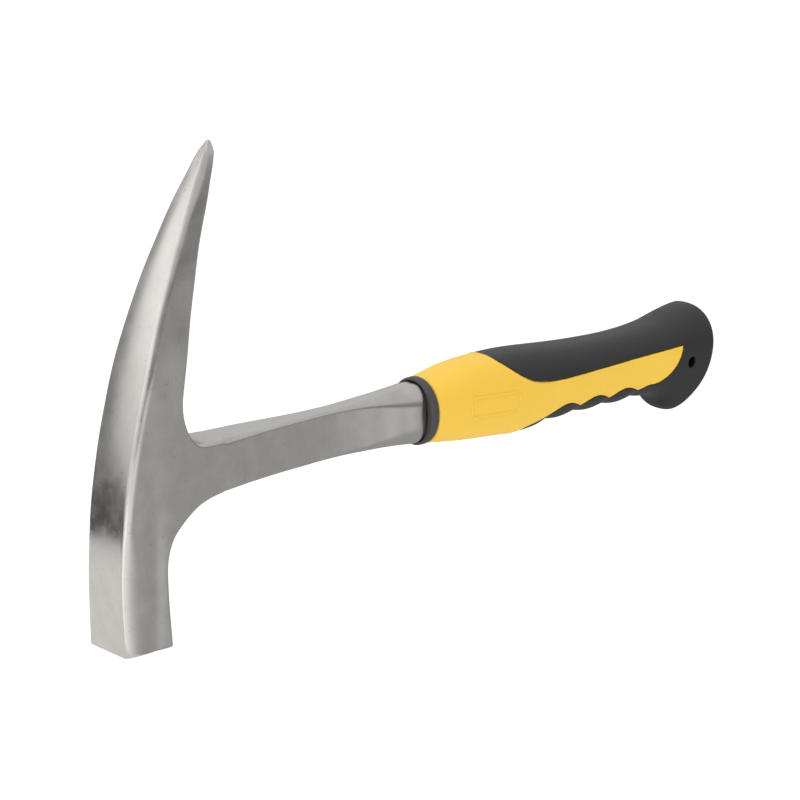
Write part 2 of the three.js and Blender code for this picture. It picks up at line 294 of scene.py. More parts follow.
def half_thickness(x, z):
    """Half the forging's thickness in side view: the head's by height, easing into the shank's by x.

    Long shallow waves leave the hammered unevenness that grinding doesn't remove. The belt has left
    a shallow hollow along the middle of the poll's cheek, with a Gaussian section.
    """
    head = head_half(z)
    shank = np.minimum(shank_half(x), head)
    in_shank = smoothstep(34, 42, z) * (1 - smoothstep(82, 98, z))
    waves = WAVE_HEIGHT * np.sin(0.31 * x + 0.17 * z) * np.sin(0.11 * z - 0.23 * x + 1.0)
    centre, half_width, depth = POLL_HOLLOW
    hollow = depth * np.exp(-((x - centre) / half_width) ** 2)
    hollow = hollow * (1 - smoothstep(*POLL_EASE_END, z))
    low = np.clip(BROKEN_EDGE - z, 0, BROKEN_EDGE)
    broken = BROKEN_EDGE - np.sqrt(BROKEN_EDGE**2 - low**2)
    return head + in_shank * (shank - head) + waves * (head > 3) - hollow - broken


def edge_grid(point, normal, across, deep, t):
    """A rounded long edge: a quarter ellipse from the narrow wall (t = 0) to the cheek (t = 1)."""
    angle = np.asarray(t) * math.pi / 2
    depth = deep[:, None] * (1 - np.cos(angle))
    place = point[:, None, :] + normal[:, None, :] * depth[..., None]
    half = half_thickness(place[..., 0], place[..., 1]) - across[:, None] * (1 - np.sin(angle))
    return np.stack([place[..., 0], -half, place[..., 1]], axis=-1)


def wall_grid(point, normal, across, crown, t):
    """A narrow wall from the middle plane (t = 0) to its edge: parabolic crown, highest at Y = 0."""
    share = np.asarray(t)
    half = half_thickness(point[:, 0], point[:, 1]) - across
    rise = crown[:, None] * (1 - share**2)
    place = point[:, None, :] - normal[:, None, :] * rise[..., None]
    return np.stack([place[..., 0], -half[:, None] * share, place[..., 1]], axis=-1)


def cheek_grid(start, end, t):
    """The cheek between two lines of side-view points, at the forging's half thickness."""
    place = blend(start, end, t)
    half = half_thickness(place[..., 0], place[..., 1])
    return np.stack([place[..., 0], -half, place[..., 1]], axis=-1)


def forging_grids(steel):
    """Grids of one half of the forging: poll, middle and pick as one column, and the shank."""
    wall = np.linspace(0, 1, 9)
    corner = np.linspace(0, 1, 10)
    cheek = np.linspace(0, 1, 41)
    lower_split = lower_run[LOWER_OUTLINE.index(LOWER_SPLIT)]
    upper_split = upper_run[UPPER_OUTLINE.index(UPPER_SPLIT)]
    foot = np.array([0, 0.1, 0.25, 0.42, 0.6]) / lower_split
    poll = np.concatenate([foot, np.linspace(1.4 / lower_split, 1, 32)])
    pick = 1 - np.linspace(1, 0, 90) ** 1.15
    middle = np.linspace(0, 1, 33)
    front_low = np.interp(LOWER_SPLIT[1], front_path(front_run)[:, 1], front_run)
    front_high = np.interp(UPPER_SPLIT[1] - 2, front_path(front_run)[:, 1], front_run)
    grids = []

    def level_foot(point, normal):
        """Normals turned level towards the striking face, so that its edge stays flat."""
        level = normal * np.stack([1 + 0 * point[:, 1], smoothstep(0, 6, point[:, 1])], axis=-1)
        return level / np.linalg.norm(level, axis=-1, keepdims=True)

    def front(distance):
        point = front_path(distance)
        normal = level_foot(point, inward(front_path, distance, 1))
        radius = np.minimum(steel.front_radius / MM, 0.45 * head_half(point[:, 1]))
        crown = steel.front_crown / MM * smoothstep(50, 90, point[:, 1]) \
            * (1 - smoothstep(150, 175, point[:, 1]))
        ease = steel.poll_ease / MM * (1 - smoothstep(*POLL_EASE_END, point[:, 1]))
        return point, normal, radius, np.maximum(ease, EDGE_STRETCH * radius), crown

    def back(path, distance, side):
        point = path(distance)
        normal = level_foot(point, inward(path, distance, side))
        in_shank = point[:, 0] > 37
        head = np.minimum(steel.back_radius / MM, 0.3 * head_half(point[:, 1]))
        across = np.where(in_shank, shank_round_across(point[:, 0]), head)
        deep = np.where(in_shank, shank_round_deep(point[:, 0]), head)
        return point, normal, across, deep

    def foot_inset(point, normal):
        """The broken edge round the striking face pulls the walls inwards."""
        low = np.clip(BROKEN_EDGE - point[:, 1], 0, BROKEN_EDGE)
        return point + normal * (BROKEN_EDGE - np.sqrt(BROKEN_EDGE**2 - low**2))[:, None]

    def block(front_distance, back_points, back_edge):
        point, normal, radius, deep_front, crown = front(front_distance)
        point = foot_inset(point, normal * (1, 0))
        grids.append(wall_grid(point, normal, radius, crown, wall))
        grids.append(edge_grid(point, normal, radius, deep_front, corner))
        inner = point + normal * deep_front[:, None]
        if back_edge is None:
            grids.append(cheek_grid(inner, back_points, cheek))
            return
        edge_point, edge_normal, across, deep = back_edge
        edge_point = foot_inset(edge_point, edge_normal * (1, 0))
        grids.append(cheek_grid(inner, edge_point + edge_normal * deep[:, None], cheek))
        grids.append(edge_grid(edge_point, edge_normal, across, deep, corner))
        grids.append(wall_grid(edge_point, edge_normal, across, 0 * across, wall))

    lower_edge = back(lower_path, poll * lower_split, -1)
    block(poll * front_low, None, lower_edge)
    upper_edge = back(upper_path, (1 - pick) * upper_split, 1)
    block(front_high + pick * (front_run[-1] - front_high), None, upper_edge)

    low_inner = lower_edge[0][-1] + lower_edge[1][-1] * lower_edge[3][-1]
    high_inner = upper_edge[0][0] + upper_edge[1][0] * upper_edge[3][0]
    seam = low_inner + middle[:, None] * (high_inner - low_inner)
    block(front_low + middle * (front_high - front_low), seam, None)

    shank = np.linspace(0, 1, 120)
    low = back(lower_path, lower_split + shank * (lower_run[-1] - lower_split), -1)
    high = back(upper_path, upper_split + shank * (upper_run[-1] - upper_split), 1)
    no_crown = 0 * shank
    for point, normal, across, deep in (low, high):
        grids.append(wall_grid(point, normal, across, no_crown, wall))
        grids.append(edge_grid(point, normal, across, deep, corner))
    low_line = low[0] + low[1] * low[3][:, None]
    high_line = high[0] + high[1] * high[3][:, None]
    grids.append(cheek_grid(low_line, high_line, middle))
    return grids


# ---------------------------------------------------------------- grip

grip_top = smooth(GRIP_TOP)
grip_bottom = smooth(GRIP_BOTTOM)
grip_half = smooth(GRIP_HALF_WIDTH)
crown_border = smooth(CROWN_BORDER)
tail_border = smooth(TAIL_BORDER)
end_border = smooth(END_BORDER)


def notch(x):
    """Depth of the finger notches: |sin| waves between the pads, fading out past the first and last."""
    wave = np.abs(np.sin(math.pi * (x - FIRST_NOTCH) / FINGER_PITCH))
    outside = np.maximum(np.maximum(FIRST_NOTCH - x, x - LAST_NOTCH), 0) / FINGER_PITCH
    return NOTCH_DEPTH * (1 - wave) * np.clip(1 - outside, 0, 1)


def grip_point(x, angle, inset, shrink=1.0):
    """Points of the grip's skin: superellipse sections whose ends lean into the butt's arc.

    The angle runs from 90 degrees at the crown over the -Y side to -90 degrees at the underside.
    """
    top = grip_top(x) - inset
    bottom = grip_bottom(x) + inset
    half_height = (top - bottom) / 2
    cosine, sine = np.cos(angle), np.sin(angle)
    radius = (np.abs(cosine) ** GRIP_SQUARENESS + np.abs(sine) ** GRIP_SQUARENESS) ** (-1 / GRIP_SQUARENESS)
    up = radius * sine
    height = (top + bottom) / 2 + shrink * (up * half_height + notch(x) * np.maximum(-up, 0) ** NOTCH_REACH)
    lean = smoothstep(SWEEP_START, BUTT_END, x)
    off_centre = np.abs(height - BUTT_CENTRE) + 1e-9
    reach = (off_centre**-BUTT_EASE + BUTT_REACH**-BUTT_EASE) ** (-1 / BUTT_EASE)
    place = x + lean * (np.sqrt(BUTT_RADIUS**2 - reach**2) - BUTT_RADIUS)
    return np.stack([place, -shrink * (grip_half(x) - inset) * radius * cosine, height], axis=-1)


def section_angle(x, height):
    """The angle at which the grip's section at x reaches a height."""
    centre = (grip_top(x) + grip_bottom(x)) / 2
    half_height = (grip_top(x) - grip_bottom(x)) / 2
    up = (height - centre) / half_height
    for _ in range(3):
        up = (height - centre - notch(x) * np.maximum(-up, 0) ** NOTCH_REACH) / half_height
    up = np.clip(up, -1, 1)
    across = (1 - np.abs(up) ** GRIP_SQUARENESS) ** (1 / GRIP_SQUARENESS)
    return np.arctan2(up, across)


def upper_angle(x, grow):
    """Angle of the crown's border at x: 90 degrees ahead of its start, then down the border."""
    height = crown_border(x - 0.5 * grow) + grow
    angle = section_angle(x, height)
    return np.where(x <= CROWN_START + 0.5 * grow, math.pi / 2, angle)


def lower_angle(x, grow):
    """Angle of the pads' border at x: a tail, a row of |sin| waves, and the window's round end."""
    late = smoothstep(LAST_NOTCH, 270, x)
    place = x - grow * (0.5 + 0.5 * late)
    waves = BORDER_BASE + SCALLOP_HEIGHT * np.abs(np.sin(math.pi * (place - FIRST_NOTCH) / FINGER_PITCH))
    rear = np.where(place < LAST_NOTCH, waves, end_border(place))
    height = np.where(place < FIRST_NOTCH, tail_border(place), rear)
    closing = smoothstep(268, WINDOW_END + grow, x)
    angle = section_angle(x, height + grow * (2 * closing - 1))
    return np.where(x <= TAIL_START + 0.5 * grow, -math.pi / 2, angle)


def spread(start, end, count, ease_start=1.0, ease_end=1.0):
    """Stations from start to end; an ease of 2 packs them quadratically at that end."""
    t = np.linspace(0, 1, count)
    packed = t**ease_start * (1 - t) + (1 - (1 - t) ** ease_end) * t
    return start + (end - start) * packed


def border_stations(grow):
    """Stations along the grip between the crown's start and the window's end, with every notch."""
    start = CROWN_START + 0.5 * grow
    tail = TAIL_START + 0.5 * grow
    end = WINDOW_END + grow
    edges = [FIRST_NOTCH + 0.5 * grow + FINGER_PITCH * i for i in range(4)]
    parts = [spread(start, tail, 36, 1.8, 1)[:-1], spread(tail, edges[0], 40, 1.8, 1)[:-1]]
    parts += [np.linspace(low, high, 30)[:-1] for low, high in zip(edges, edges[1:])]
    parts.append(spread(edges[-1], end, 64, 1, 1.8))
    return np.concatenate(parts)


def border_lines(grow):
    """Both borders of the window as points in space, for distances to them."""
    x = np.linspace(CROWN_START, WINDOW_END + grow, 700)
    upper = grip_point(x, upper_angle(x, grow), 0)[x >= CROWN_START + 0.5 * grow]
    lower = grip_point(x, lower_angle(x, grow), 0)[x >= TAIL_START + 0.5 * grow]
    return np.concatenate([upper, lower])


def distance_to(points, line):
    """Distance from each point of a grid to the nearest point of a line, worked out in slices."""
    flat = points.reshape(-1, 3)
    slices = np.array_split(flat, max(1, len(flat) // 2000))
    nearest = [np.sqrt(((part[:, None, :] - line[None]) ** 2).sum(-1).min(1)) for part in slices]
    return np.concatenate(nearest).reshape(points.shape[:-1])


def round_over(distance, radius):
    """Depth of a rounded edge at a distance from it: a quarter circle."""
    inside = radius - np.clip(distance, 0, radius)
    return radius - np.sqrt(np.maximum(radius**2 - inside**2, 0))


def fan(start_angle, end_angle, t):
    """Angles from one line to another, in even steps."""
    return start_angle[:, None] * (1 - t) + end_angle[:, None] * t


def window_fan(upper, lower, t):
    """Angles from the upper to the lower border. Away from the borders they keep the even fan of a
    whole half turn, so the lines of the mesh don't swerve where a border begins: each border moves
    the lines by its own distance times (1 - t)^p, with p as high as keeps them in order."""
    drop = (math.pi / 2 - upper)[:, None]
    rise = (math.pi / 2 + lower)[:, None]
    most = 0.35 * math.pi
    upper_power = np.clip(most / np.maximum(drop, 1e-6), 1, 8)
    lower_power = np.clip(most / np.maximum(rise, 1e-6), 1, 8)
    even = math.pi * (0.5 - t)
    return even - drop * (1 - t) ** upper_power + rise * t**lower_power


def skin_grid(x, angle, depth):
    """A patch of the skin at stations x, one row of angles for each, sunk to a depth."""
    return grip_point(x[:, None] + 0 * angle, angle, depth)


def sunk_patch(x, angle, line, radius, bead=0.0):
    """A visible patch: rounded over at the border, with a low bead just inside the rounding."""
    distance = distance_to(skin_grid(x, angle, 0.0), line)
    ridge = bead * np.exp(-((distance - 1.6 * radius) / (0.8 * radius)) ** 2)
    return skin_grid(x, angle, round_over(distance, radius) - ridge)


def core_grids(grip):
    """One half of the hard core: its visible front and window, and the sunk parts under rubber."""
    sunk = grip.rubber_thickness / MM + GAP
    radius = grip.lip_radius / MM
    bead = grip.lip_bead / MM
    line = border_lines(0)
    window = spread(0, 1, 61, 1.5, 1.5)
    cover = np.linspace(0, 1, 9)
    front = np.linspace(GRIP_START, CROWN_START, 48)[:-1]
    middle = border_stations(0)
    visible = np.concatenate([front, middle])
    top = np.full(len(visible), math.pi / 2)
    upper = upper_angle(visible, 0)
    lower = lower_angle(visible, 0)
    bottom = -top
    grids = [sunk_patch(visible, window_fan(upper, lower, window), line, radius, bead)]
    in_crown = visible >= CROWN_START
    in_tail = visible >= TAIL_START

    def covered(mask, outer, border):
        x, outer, border = visible[mask], outer[mask], border[mask]
        grids.append(skin_grid(x, fan(outer, border, cover), sunk))
        edge = round_over(distance_to(skin_grid(x, border[:, None], 0.0), line), radius)
        depths = edge * (1 - cover) + sunk * cover
        grids.append(grip_point(x[:, None] + 0 * depths, border[:, None] + 0 * depths, depths))

    covered(in_crown, top, upper)
    covered(in_tail, bottom, lower)
    meeting = upper_angle(np.array([WINDOW_END]), 0)[0]
    rear = np.linspace(WINDOW_END, CORE_END - BUTT_EDGE, 12)
    turn = np.linspace(0, math.pi / 2, 6)[1:]
    rear_x = np.concatenate([rear, CORE_END - BUTT_EDGE * (1 - np.sin(turn))])
    rear_inset = np.concatenate([0 * rear, BUTT_EDGE * (1 - np.cos(turn))]) + sunk
    for limit in (math.pi / 2, -math.pi / 2):
        angle = limit * (1 - cover) + meeting * cover
        grids.append(grip_point(rear_x[:, None] + 0 * angle, angle + 0 * rear_x[:, None], rear_inset[:, None]))
    return grids


def rubber_grids(grip):
    """One half of the overmould: outer skin, walls along the window, and the lining of the core."""
    thickness = grip.rubber_thickness / MM
    radius = grip.lip_radius / MM
    line = border_lines(GAP)
    across = spread(0, 1, 41, 1, 1.8)
    lining = np.linspace(0, 1, 9)
    wall = np.linspace(0, 1, 4)
    stations = border_stations(GAP)
    meeting = upper_angle(np.array([WINDOW_END + GAP]), GAP)[0]
    rear = np.linspace(WINDOW_END + GAP, BUTT_END - BUTT_EDGE, 30)[1:]
    turn = np.linspace(0, math.pi / 2, 9)[1:]
    cavity = np.linspace(WINDOW_END + GAP, CORE_END + GAP, 10)[1:]
    grids = []
    for limit, border_angle, start in (
        (math.pi / 2, upper_angle, CROWN_START + 0.5 * GAP),
        (-math.pi / 2, lower_angle, TAIL_START + 0.5 * GAP),
    ):
        x = stations[stations >= start - 1e-9]
        border = border_angle(x, GAP)
        edge = np.full(len(x), limit)
        grids.append(sunk_patch(x, fan(edge, border, across), line, radius))
        grids.append(skin_grid(x, fan(edge, border, lining), thickness))
        depths = round_over(distance_to(skin_grid(x, border[:, None], 0.0), line), radius)
        depths = depths * (1 - wall) + thickness * wall
        grids.append(grip_point(x[:, None] + 0 * depths, border[:, None] + 0 * depths, depths))
        ends = np.concatenate([x[-1:], rear, BUTT_END - BUTT_EDGE * (1 - np.sin(turn))])
        insets = np.concatenate([[0], 0 * rear, BUTT_EDGE * (1 - np.cos(turn))])
        angle = limit * (1 - across) + meeting * across
        outer = grip_point(ends[:, None] + 0 * angle, angle + 0 * ends[:, None], 0.0 + insets[:, None])
        outer[:12] = sunk_patch(ends[:12], np.tile(angle, (12, 1)), line, radius)
        grids.append(outer)
        shrink = np.linspace(1, 0, 14)[:, None]
        grids.append(grip_point(BUTT_END + 0 * shrink * angle, angle + 0 * shrink, BUTT_EDGE, shrink))
        angle = limit * (1 - lining) + meeting * lining
        inner = np.concatenate([x[-1:], cavity])
        grids.append(grip_point(inner[:, None] + 0 * angle, angle + 0 * inner[:, None], thickness))
        shrink = np.linspace(1, 0, 5)[:, None]
        grids.append(grip_point(inner[-1] + 0 * shrink * angle, angle + 0 * shrink, thickness, shrink))
    return grids


def badge_grid(t_count=160):
    """A low half-round ridge carried round a rectangle with round corners, lying on the grip's side."""
    half = np.array(BADGE_SIZE) / 2
    straight = half - BADGE_CORNER
    turn = np.linspace(0, math.pi / 2, 10)
    outline = []
    for quarter, (u, v) in enumerate(((1, 1), (-1, 1), (-1, -1), (1, -1))):
        angle = turn + quarter * math.pi / 2
        centre = straight * (u, v)
        outline.append(centre + BADGE_CORNER * np.stack([np.cos(angle), np.sin(angle)], axis=-1))
    corners = np.concatenate(outline + [outline[0][:1]])
    run = np.concatenate([[0], np.cumsum(np.hypot(*np.diff(corners, axis=0).T))])
    even = np.linspace(0, run[-1], t_count)
    path = np.stack([np.interp(even, run, corners[:, i]) for i in range(2)], axis=-1)
    along = np.roll(path[:-1], -1, axis=0) - np.roll(path[:-1], 1, axis=0)
    along = np.concatenate([along, along[:1]])
    along /= np.linalg.norm(along, axis=-1, keepdims=True)
    outward = np.stack([along[:, 1], -along[:, 0]], axis=-1)
    around = np.linspace(0, 2 * math.pi, 13)
    sideways = BADGE_RIDGE[0] * np.cos(around)
    rise = np.where(np.sin(around) > 0, BADGE_RIDGE[1], 0.5) * np.sin(around)
    flat = path[:, None, :] + outward[:, None, :] * sideways[None, :, None]
    x = BADGE_CENTRE[0] + flat[..., 0]
    z = BADGE_CENTRE[1] + flat[..., 1] + BADGE_SLOPE * flat[..., 0]
    return grip_point(x, section_angle(x, z), -rise[None, :] + 0 * x)


def collar_grid():
    """The collar: an oval ring with a rounded lip, its bore a little wider than the steel."""
    angle = np.linspace(0, 2 * math.pi, 121)
    start, end = COLLAR_LOW[0], COLLAR_HIGH[0]
    centre = (COLLAR_LOW[2] + COLLAR_HIGH[2]) / 2
    outer_half = (COLLAR_HIGH[1], (COLLAR_HIGH[2] - COLLAR_LOW[2]) / 2)
    lip = 1.1
    turn = np.linspace(0, math.pi / 2, 7)
    front = [(start + lip * (1 - math.sin(a)), lip * (1 - math.cos(a))) for a in turn[::-1]]
    rear = [(end - 0.5 * (1 - math.sin(a)), 0.5 * (1 - math.cos(a))) for a in turn]
    bore_half = (8.3 + GAP, 12.1 + GAP)
    bore_centre = 61.1

    def oval(halves, squareness, middle, inset, x):
        radius = (np.abs(np.cos(angle)) ** squareness + np.abs(np.sin(angle)) ** squareness) ** (-1 / squareness)
        y = (halves[0] - inset) * radius * np.cos(angle)
        z = middle + (halves[1] - inset) * radius * np.sin(angle)
        return np.stack([x + 0 * angle, y, z], axis=-1)

    rings = [oval(outer_half, 2, centre, inset, x) for x, inset in front + rear]
    bore_front = oval(bore_half, 2.4, bore_centre, 0, start + 0.3)
    bore_rear = oval(bore_half, 2.4, bore_centre, 0, end)
    face = [rings[0] * (1 - t) + bore_front * t for t in (1, 0.75, 0.5, 0.25)]
    back = [rings[-1] * (1 - t) + bore_rear * t for t in (0.5, 1)]
    return np.stack(face + rings + back + [face[0]])


def tang_grid():
    """The tang: a rounded bar that follows the grip's middle line, closed at its end."""
    x = np.concatenate([[139.5], np.linspace(139.6, TANG_END, 40)])
    angle = np.linspace(0, 2 * math.pi, 33)
    centre = (grip_top(x) + grip_bottom(x)) / 2
    power = TANG_SQUARENESS
    radius = (np.abs(np.cos(angle)) ** power + np.abs(np.sin(angle)) ** power) ** (-1 / power)
    y = TANG_HALF_WIDTH * radius * np.cos(angle)
    z = TANG_HALF_HEIGHT * radius * np.sin(angle)
    return np.stack([x[:, None] + 0 * angle, y + 0 * x[:, None], centre[:, None] + z], axis=-1)


# ---------------------------------------------------------------- materials

def linear(code):
    """Linear RGBA of an sRGB hex colour."""
    value = np.array([int(code[i:i + 2], 16) for i in (1, 3, 5)]) / 255
    rgb = np.where(value <= 0.04045, value / 12.92, ((value + 0.055) / 1.055) ** 2.4)
    return (*rgb.tolist(), 1.0)


def add(material, kind, settings=None, **links):
    """Adds a node with its settings (attributes in lower case, sockets by name) and links."""
    tree = material.node_tree
    node = tree.nodes.new(kind)
    for name, value in (settings or {}).items():
        if name[0].islower():
            setattr(node, name, value)
        else:
            node.inputs[name].default_value = value
    for name, source in links.items():
        key = int(name[1:]) if name[1:].isdigit() else name.replace("_", " ")
        socket = node.inputs[key]
        tree.links.new(source, socket)
    return node


def new_material(name, settings):
    """A material with its Principled shader and an Object coordinate."""
    material = bpy.data.materials.new(name)
    material.use_nodes = True
    material.node_tree.nodes.clear()
    shader = add(material, "ShaderNodeBsdfPrincipled", settings)
    add(material, "ShaderNodeOutputMaterial", Surface=shader.outputs[0])
    place = add(material, "ShaderNodeTexCoord").outputs["Object"]
    return material, shader, place


def ramp(material, factor, stops):
    """A colour ramp through (position, colour) stops."""
    node = add(material, "ShaderNodeValToRGB", Fac=factor)
    elements = node.color_ramp.elements
    while len(elements) < len(stops):
        elements.new(0.5)
    for element, (position, colour) in zip(elements, stops):
        element.position = position
        element.color = colour
    return node.outputs["Color"]


def grey(value):
    """An opaque grey for a ramp that carries a number."""
    return (value, value, value, 1.0)


def forged_steel(steel):
    """Carbon steel, drop forged, belt ground and clear lacquered: satin, with soft mottling,
    fine grinding lines along each limb and a few shallow scale pits."""
    material, shader, place = new_material("ground_forged_steel", {"Metallic": 1.0})
    link = material.node_tree.links.new
    mottle = add(material, "ShaderNodeTexNoise", {"Scale": 1 / 0.009, "Detail": 5.0, "Roughness": 0.6}, Vector=place)
    colour = ramp(material, mottle.outputs[0], [(0.3, tuple(steel.dark)), (0.68, tuple(steel.light))])
    # Grinding lines 0.25 mm apart are too fine to show, so they are drawn 0.7 mm apart.
    along_head = add(material, "ShaderNodeMapping", {"Scale": (1 / 0.0007, 1 / 0.0007, 1 / 0.03)}, Vector=place)
    along_shank = add(material, "ShaderNodeMapping", {"Scale": (1 / 0.03, 1 / 0.0007, 1 / 0.0007)}, Vector=place)
    lines_head = add(material, "ShaderNodeTexNoise", {"Scale": 1.0, "Detail": 2.0}, Vector=along_head.outputs[0])
    lines_shank = add(material, "ShaderNodeTexNoise", {"Scale": 1.0, "Detail": 2.0}, Vector=along_shank.outputs[0])
    split = add(material, "ShaderNodeSeparateXYZ", Vector=place)
    side = add(
        material, "ShaderNodeMapRange",
        {"From Min": 0.012, "From Max": 0.035, "interpolation_type": "SMOOTHSTEP"}, Value=split.outputs[0],
    )
    lines = add(
        material, "ShaderNodeMix", {"data_type": "FLOAT"},
        n0=side.outputs[0], n2=lines_head.outputs[0], n3=lines_shank.outputs[0],
    )
    # Scale pits are about 0.6 mm across and a few millimetres apart.
    pits = add(material, "ShaderNodeTexNoise", {"Scale": 1 / 0.0016, "Detail": 2.0}, Vector=place)
    pit = ramp(material, pits.outputs[0], [(0.27, grey(0.0)), (0.34, grey(1.0))])
    stain = add(material, "ShaderNodeMix", {"data_type": "RGBA", "blend_type": "MULTIPLY"})
    stain.inputs[0].default_value = 0.12
    link(colour, stain.inputs[6])
    link(pit, stain.inputs[7])
    link(stain.outputs[2], shader.inputs["Base Color"])
    rough = add(
        material, "ShaderNodeMapRange",
        {"From Min": 0.3, "From Max": 0.7, "To Min": steel.roughness - 0.05, "To Max": steel.roughness + 0.07},
        Value=mottle.outputs[0],
    )
    link(rough.outputs[0], shader.inputs["Roughness"])
    scratch = add(material, "ShaderNodeBump", {"Strength": 0.08, "Distance": 0.0001}, Height=lines.outputs[0])
    dent = add(material, "ShaderNodeBump", {"Strength": 0.12, "Distance": 0.0001}, Height=pit, Normal=scratch.outputs[0])
    link(dent.outputs[0], shader.inputs["Normal"])
    return material


def moulded(name, colour, darker, roughness, grain, strength):
    """A moulded plastic or rubber: a fine spark-eroded grain and faint cloudiness from the flow."""
    material, shader, place = new_material(name, {"Roughness": roughness, "IOR": 1.5})
    link = material.node_tree.links.new
    cloud = add(material, "ShaderNodeTexNoise", {"Scale": 1 / 0.014, "Detail": 3.0}, Vector=place)
    tint = ramp(material, cloud.outputs[0], [(0.3, darker), (0.7, colour)])
    link(tint, shader.inputs["Base Color"])
    fine = add(material, "ShaderNodeTexNoise", {"Scale": 1 / grain, "Detail": 3.0}, Vector=place)
    gloss = add(
        material, "ShaderNodeMapRange",
        {"From Min": 0.3, "From Max": 0.7, "To Min": roughness - 0.05, "To Max": roughness + 0.06},
        Value=fine.outputs[0],
    )
    link(gloss.outputs[0], shader.inputs["Roughness"])
    skin = add(material, "ShaderNodeBump", {"Strength": strength, "Distance": 0.0001}, Height=fine.outputs[0])
    link(skin.outputs[0], shader.inputs["Normal"])
    return material


TABLE_CENTRE = np.array((-0.055, 0.06, -0.0002))


def round_plate(name, inner, outer, material):
    """A flat ring or disc on the ground around the table's centre, between two radii."""
    angle = np.linspace(0, 2 * math.pi, 97)[:-1]
    ring = np.stack([np.cos(angle), np.sin(angle), 0 * angle], axis=-1)
    circles = [TABLE_CENTRE + radius * ring for radius in (inner, outer)]
    index = np.arange(96)
    after = (index + 1) % 96
    quads = np.stack([index, index + 96, after + 96, after], axis=-1)
    mesh = bpy.data.meshes.new(name)
    if inner:
        mesh.from_pydata(np.concatenate(circles).tolist(), [], quads.tolist())
    else:
        mesh.from_pydata(circles[1].tolist(), [], [index.tolist()])
    mesh.materials.append(material)
    plate = bpy.data.objects.new(name, mesh)
    bpy.context.scene.collection.objects.link(plate)
    return plate


def studio_world(stage):
    """A soft studio: a ceiling, grey walls with a window in front, a softbox and a reflector on the
    left, and a black flag low at the back. The camera itself sees plain white."""
    world = bpy.data.worlds.new("studio")
    world.use_nodes = True
    world.node_tree.nodes.clear()
    toward = add(world, "ShaderNodeTexCoord").outputs["Generated"]
    height = add(world, "ShaderNodeSeparateXYZ", Vector=toward).outputs["Z"]

    def ease(value, low, high, start, end):
        limits = {"From Min": low, "From Max": high, "To Min": start, "To Max": end}
        settings = {"interpolation_type": "SMOOTHSTEP", **limits}
        return add(world, "ShaderNodeMapRange", settings, Value=value).outputs[0]

    def facing(direction):
        node = add(world, "ShaderNodeVectorMath", {"operation": "DOT_PRODUCT"}, n0=toward)
        node.inputs[1].default_value = direction
        return node.outputs["Value"]

    def combine(operation, first, second):
        node = add(world, "ShaderNodeMath", {"operation": operation}, n0=first, n1=second)
        return node.outputs[0]

    ceiling = ease(height, 0.0, 0.3, stage.horizon, stage.sky)
    softbox = ease(facing((-0.85, 0.45, 0.27)), 0.76, 0.99, 0, stage.softbox)
    above = combine("MULTIPLY", combine("ADD", ceiling, softbox), ease(height, -0.17, -0.1, 0, 1))
    wall = ease(facing((0.6, -0.8, 0)), -0.3, 0.5, stage.floor_line, stage.wall)
    window = ease(facing((-0.4, -0.9, 0)), 0.37, 1, 0, stage.window)
    flag = ease(facing((-0.68, 0.71, -0.19)), 0.88, 0.98, 1, stage.flag)
    below = combine("MULTIPLY", combine("ADD", wall, window), ease(height, -0.17, -0.1, 1, 0))
    below = combine("MULTIPLY", below, flag)
    reflector = ease(facing((-0.92, -0.39, 0)), 0.65, 0.95, 0, stage.reflector)
    total = combine("ADD", combine("ADD", above, below), reflector)
    soft = add(world, "ShaderNodeBackground", Strength=total)
    white = add(world, "ShaderNodeBackground", {"Color": (1, 1, 1, 1)})
    camera = add(world, "ShaderNodeLightPath").outputs["Is Camera Ray"]
    mix = add(world, "ShaderNodeMixShader", n0=camera, n1=soft.outputs[0], n2=white.outputs[0])
    add(world, "ShaderNodeOutputWorld", Surface=mix.outputs[0])
    return world


def dress(piece, material, slot, *nodes):
    """Gives a piece its material and its place in the frame."""
    piece.data.materials.clear()
    piece.data.materials.append(material)
    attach(piece, "root")
    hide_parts(*nodes)


# ---------------------------------------------------------------- add-on

def colour_property(name, description, code):
    """A colour setting with an sRGB hex default."""
    return FloatVectorProperty(
        name=name, description=description, subtype="COLOR", size=4, min=0, max=1, default=linear(code),
    )


def length_property(name, description, default):
    """A length setting in metres."""
    return FloatProperty(name=name, description=description, default=default, min=0, unit="LENGTH", precision=4)


class HammerSteelSettings(bpy.types.PropertyGroup):
    """Sizes and finish of the forging."""
    front_radius: length_property("Front edge radius", "Rounding of the pick's long front edges", 0.0018)
    poll_ease: length_property("Poll easing", "How far the poll's front edges ease into the cheeks", 0.0065)
    back_radius: length_property("Back edge radius", "Rounding of the head's edges on the handle side", 0.0014)
    front_crown: length_property("Front crown", "How far the pick's front bulges across its width", 0.0008)
    dark: colour_property("Dark steel", "Darker patches of the ground steel", "#b3b0ac")
    light: colour_property("Light steel", "Lighter patches of the ground steel", "#bebbb7")
    roughness: FloatProperty(name="Roughness", description="Roughness of the satin grind", default=0.2, min=0.1, max=0.9)


class HammerGripSettings(bpy.types.PropertyGroup):
    """Sizes and colours of the moulded grip."""
    rubber_thickness: length_property("Rubber thickness", "Wall of the overmould", 0.0025)
    lip_radius: length_property("Lip radius", "Rounding of both edges along the border", 0.0004)
    lip_bead: length_property("Lip bead", "Height of the hard plastic's bead along the border", 0.00025)
    yellow: colour_property("Plastic", "Colour of the hard plastic", "#f4c740")
    yellow_dark: colour_property("Plastic, cloudy", "Its slightly darker clouds", "#f2c43b")
    rubber: colour_property("Rubber", "Colour of the soft overmould", "#1d1b1b")
    collar: colour_property("Collar", "Colour of the front collar", "#3f3c3d")


CAMERA_PLACE = (-0.6270, -0.7969, 0.3929)


